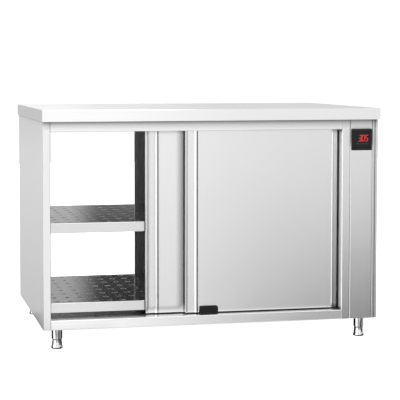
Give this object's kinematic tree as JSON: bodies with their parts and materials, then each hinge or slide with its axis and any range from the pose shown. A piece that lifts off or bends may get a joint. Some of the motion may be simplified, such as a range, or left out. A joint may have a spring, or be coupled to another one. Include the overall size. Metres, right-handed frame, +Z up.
{
  "type": "plate warmer cabinet",
  "caption": "Long pass-through heated plate cabinet in folded stainless sheet with sliding doors on both faces, perforated shelves and a digital controller.",
  "frame": {"origin": "on the floor under the middle of the worktop", "axes": "+X to the control side, +Y to the rear doors, +Z up"},
  "size_m": [1.2, 0.8, 0.82],
  "materials": {
    "stainless": "fine brushed",
    "stainless_bright": "bright annealed",
    "zinc_steel": "zinc plated",
    "polished": "polished",
    "black_plastic": "matt moulded",
    "black_glass": "gloss",
    "nylon": "moulded",
    "ceramic_body": "unglazed",
    "element_tube": "heat tinted"
  },
  "bodies": {
    "cabinet": {"worktop": "stainless_bright", "worktop_stiffeners": "stainless", "left_side_panel": "stainless", "left_inner_wall": "stainless", "right_side_panel": "stainless", "partition_wall": "stainless", "control_fascia": "stainless", "rear_fascia": "stainless", "base_panel": "stainless", "floor_panel": "stainless", "front_sill": "stainless", "rear_sill": "stainless", "front_head_rail": "stainless", "rear_head_rail": "stainless", "ceiling_panel": "stainless", "front_door_tracks": "zinc_steel", "rear_door_tracks": "zinc_steel", "front_door_guide": "black_plastic", "rear_door_guide": "black_plastic", "middle_shelf": "stainless_bright", "bottom_shelf": "stainless_bright", "shelf_brackets": "stainless", "controller_housing": "black_plastic", "controller_glass": "black_glass", "heater_box": "stainless", "heater_element": "element_tube", "fan_motor": "zinc_steel", "fan_grille": "stainless", "safety_thermostat": "ceramic_body", "temperature_probe": "zinc_steel", "terminal_block": "ceramic_body", "mains_gland": "black_plastic", "panel_screws": "zinc_steel", "leg_sockets": "polished"},
    "front_inner_door": {"front_inner_skin": "stainless", "front_inner_back": "stainless", "front_inner_hangers": "zinc_steel"},
    "front_inner_roller_a_body": {"front_inner_roller_a": "nylon"},
    "front_inner_roller_b_body": {"front_inner_roller_b": "nylon"},
    "front_outer_door": {"front_outer_skin": "stainless", "front_outer_back": "stainless", "front_outer_hangers": "zinc_steel"},
    "front_outer_roller_a_body": {"front_outer_roller_a": "nylon"},
    "front_outer_roller_b_body": {"front_outer_roller_b": "nylon"},
    "rear_inner_door": {"rear_inner_skin": "stainless", "rear_inner_back": "stainless", "rear_inner_hangers": "zinc_steel"},
    "rear_inner_roller_a_body": {"rear_inner_roller_a": "nylon"},
    "rear_inner_roller_b_body": {"rear_inner_roller_b": "nylon"},
    "rear_outer_door": {"rear_outer_skin": "stainless", "rear_outer_back": "stainless", "rear_outer_hangers": "zinc_steel"},
    "rear_outer_roller_a_body": {"rear_outer_roller_a": "nylon"},
    "rear_outer_roller_b_body": {"rear_outer_roller_b": "nylon"},
    "foot_front_left_body": {"foot_front_left": "polished"},
    "foot_front_right_body": {"foot_front_right": "polished"},
    "foot_rear_left_body": {"foot_rear_left": "polished"},
    "foot_rear_right_body": {"foot_rear_right": "polished"},
    "fan_wheel": {"fan_impeller": "stainless"}
  },
  "joints": [
    {"name": "front_outer_slide", "type": "slide", "parent": "cabinet", "child": "front_outer_door", "axis": [1, 0, 0], "range_m": [-0.473, 0.0025]},
    {"name": "front_outer_roller_a_spin", "type": "hinge", "parent": "front_outer_door", "child": "front_outer_roller_a_body", "pos_m": [-0.011, -0.3397, 0.778], "axis": [0, 1, 0], "continuous": true},
    {"name": "front_outer_roller_b_spin", "type": "hinge", "parent": "front_outer_door", "child": "front_outer_roller_b_body", "pos_m": [0.375, -0.3397, 0.778], "axis": [0, 1, 0], "continuous": true},
    {"name": "front_inner_slide", "type": "slide", "parent": "cabinet", "child": "front_inner_door", "axis": [1, 0, 0], "range_m": [-0.337, 0.1385]},
    {"name": "front_inner_roller_a_spin", "type": "hinge", "parent": "front_inner_door", "child": "front_inner_roller_a_body", "pos_m": [-0.147, -0.3197, 0.778], "axis": [0, 1, 0], "continuous": true},
    {"name": "front_inner_roller_b_spin", "type": "hinge", "parent": "front_inner_door", "child": "front_inner_roller_b_body", "pos_m": [0.239, -0.3197, 0.778], "axis": [0, 1, 0], "continuous": true},
    {"name": "rear_outer_slide", "type": "slide", "parent": "cabinet", "child": "rear_outer_door", "axis": [1, 0, 0], "range_m": [-0.4755, 0]},
    {"name": "rear_outer_roller_a_spin", "type": "hinge", "parent": "rear_outer_door", "child": "rear_outer_roller_a_body", "pos_m": [0.3775, 0.3397, 0.778], "axis": [0, 1, 0], "continuous": true},
    {"name": "rear_outer_roller_b_spin", "type": "hinge", "parent": "rear_outer_door", "child": "rear_outer_roller_b_body", "pos_m": [-0.0085, 0.3397, 0.778], "axis": [0, 1, 0], "continuous": true},
    {"name": "rear_inner_slide", "type": "slide", "parent": "cabinet", "child": "rear_inner_door", "axis": [1, 0, 0], "range_m": [-0.419, 0.0565]},
    {"name": "rear_inner_roller_a_spin", "type": "hinge", "parent": "rear_inner_door", "child": "rear_inner_roller_a_body", "pos_m": [0.321, 0.3197, 0.778], "axis": [0, 1, 0], "continuous": true},
    {"name": "rear_inner_roller_b_spin", "type": "hinge", "parent": "rear_inner_door", "child": "rear_inner_roller_b_body", "pos_m": [-0.065, 0.3197, 0.778], "axis": [0, 1, 0], "continuous": true},
    {"name": "foot_front_left_height", "type": "slide", "parent": "cabinet", "child": "foot_front_left_body", "axis": [0, 0, -1], "range_m": [-0.001, 0.022]},
    {"name": "foot_front_right_height", "type": "slide", "parent": "cabinet", "child": "foot_front_right_body", "axis": [0, 0, -1], "range_m": [-0.001, 0.022]},
    {"name": "foot_rear_left_height", "type": "slide", "parent": "cabinet", "child": "foot_rear_left_body", "axis": [0, 0, -1], "range_m": [-0.001, 0.022]},
    {"name": "foot_rear_right_height", "type": "slide", "parent": "cabinet", "child": "foot_rear_right_body", "axis": [0, 0, -1], "range_m": [-0.001, 0.022]},
    {"name": "fan_spin", "type": "hinge", "parent": "cabinet", "child": "fan_wheel", "pos_m": [0.49, 0, 0.272], "axis": [1, 0, 0], "continuous": true}
  ],
  "couplings": [
    {"joint": "front_outer_roller_a_spin", "follows": "front_outer_slide", "rad_per_m": 103.09},
    {"joint": "front_outer_roller_b_spin", "follows": "front_outer_slide", "rad_per_m": 103.09},
    {"joint": "front_inner_roller_a_spin", "follows": "front_inner_slide", "rad_per_m": 103.09},
    {"joint": "front_inner_roller_b_spin", "follows": "front_inner_slide", "rad_per_m": 103.09},
    {"joint": "rear_outer_roller_a_spin", "follows": "rear_outer_slide", "rad_per_m": 103.09},
    {"joint": "rear_outer_roller_b_spin", "follows": "rear_outer_slide", "rad_per_m": 103.09},
    {"joint": "rear_inner_roller_a_spin", "follows": "rear_inner_slide", "rad_per_m": 103.09},
    {"joint": "rear_inner_roller_b_spin", "follows": "rear_inner_slide", "rad_per_m": 103.09}
  ]
}
